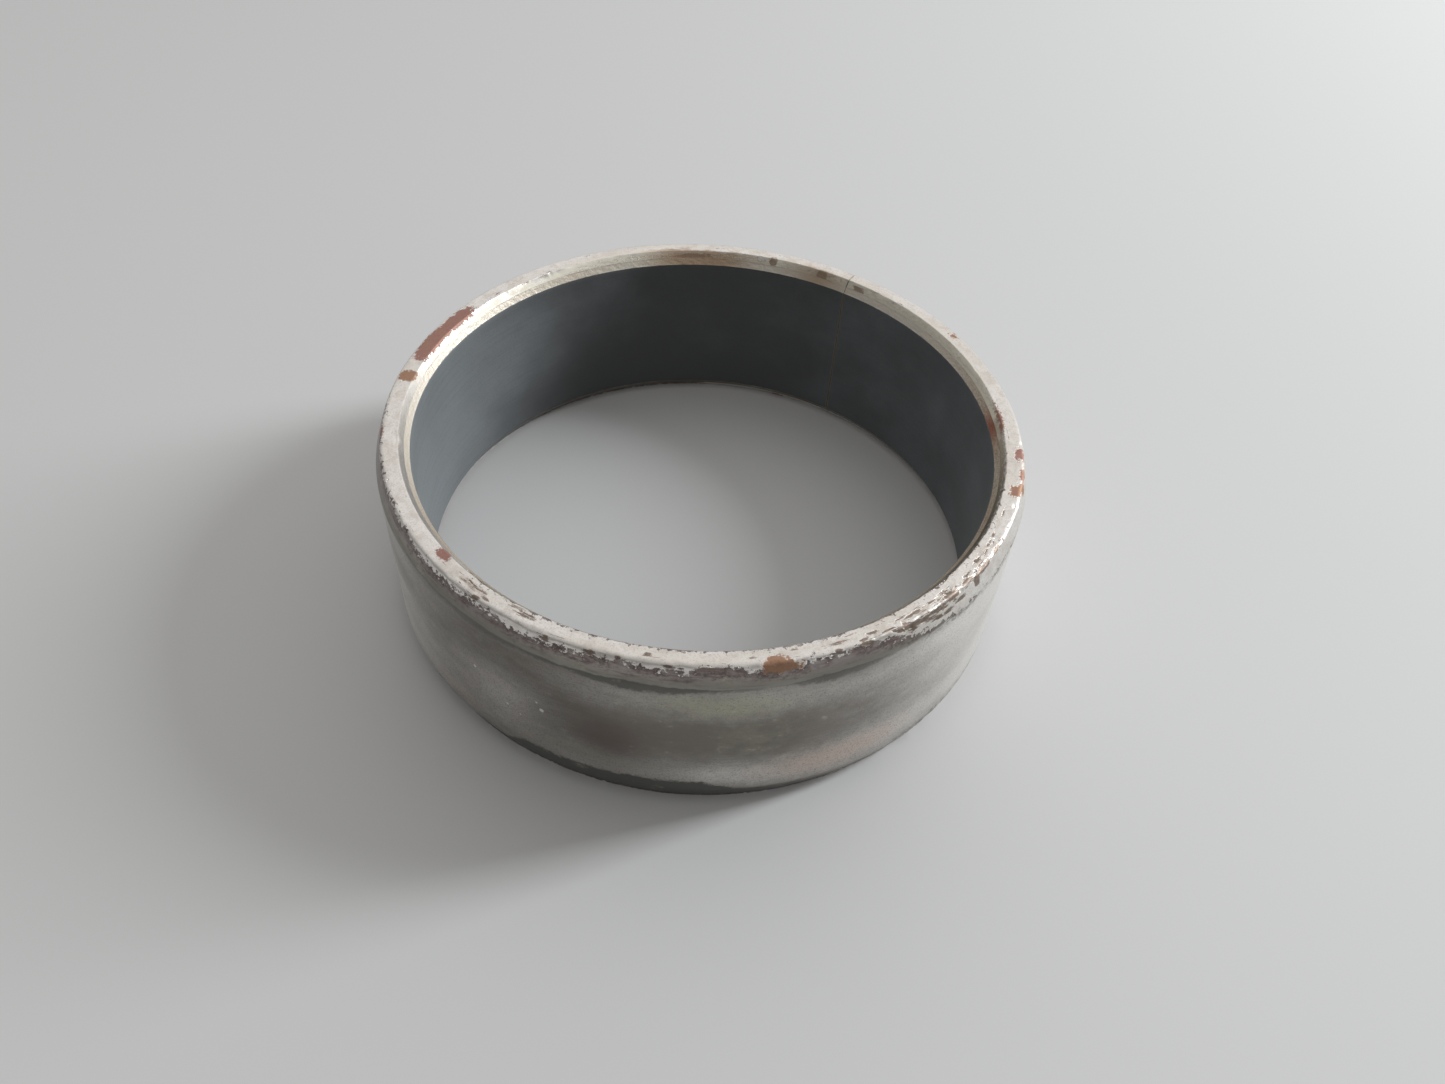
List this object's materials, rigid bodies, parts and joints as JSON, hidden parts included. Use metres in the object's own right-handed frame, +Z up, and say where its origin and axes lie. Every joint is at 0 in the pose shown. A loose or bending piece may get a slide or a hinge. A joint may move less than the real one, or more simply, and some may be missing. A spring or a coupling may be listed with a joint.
{
  "type": "plain bearing bush",
  "caption": "Straight wrapped plain bearing bush: a steel-backed ring with a dark low-friction bore, a butt joint and chamfered ends.",
  "frame": {"origin": "centre of the lower end face, on the bore's axis", "axes": "+Z up along the bore's axis; the butt joint is 60 degrees anticlockwise from +X, seen from above"},
  "size_m": [0.039, 0.039, 0.012],
  "materials": {
    "tinned_steel": "dull tin-flashed steel, worn and tarnished",
    "sintered_bronze": "fine sintered bronze, dull",
    "ptfe_lining": "smooth satin, dark blue-grey"
  },
  "bodies": {
    "root": {"steel_backing": "tinned_steel", "bronze_interlayer": "sintered_bronze", "sliding_lining": "ptfe_lining"}
  },
  "joints": []
}
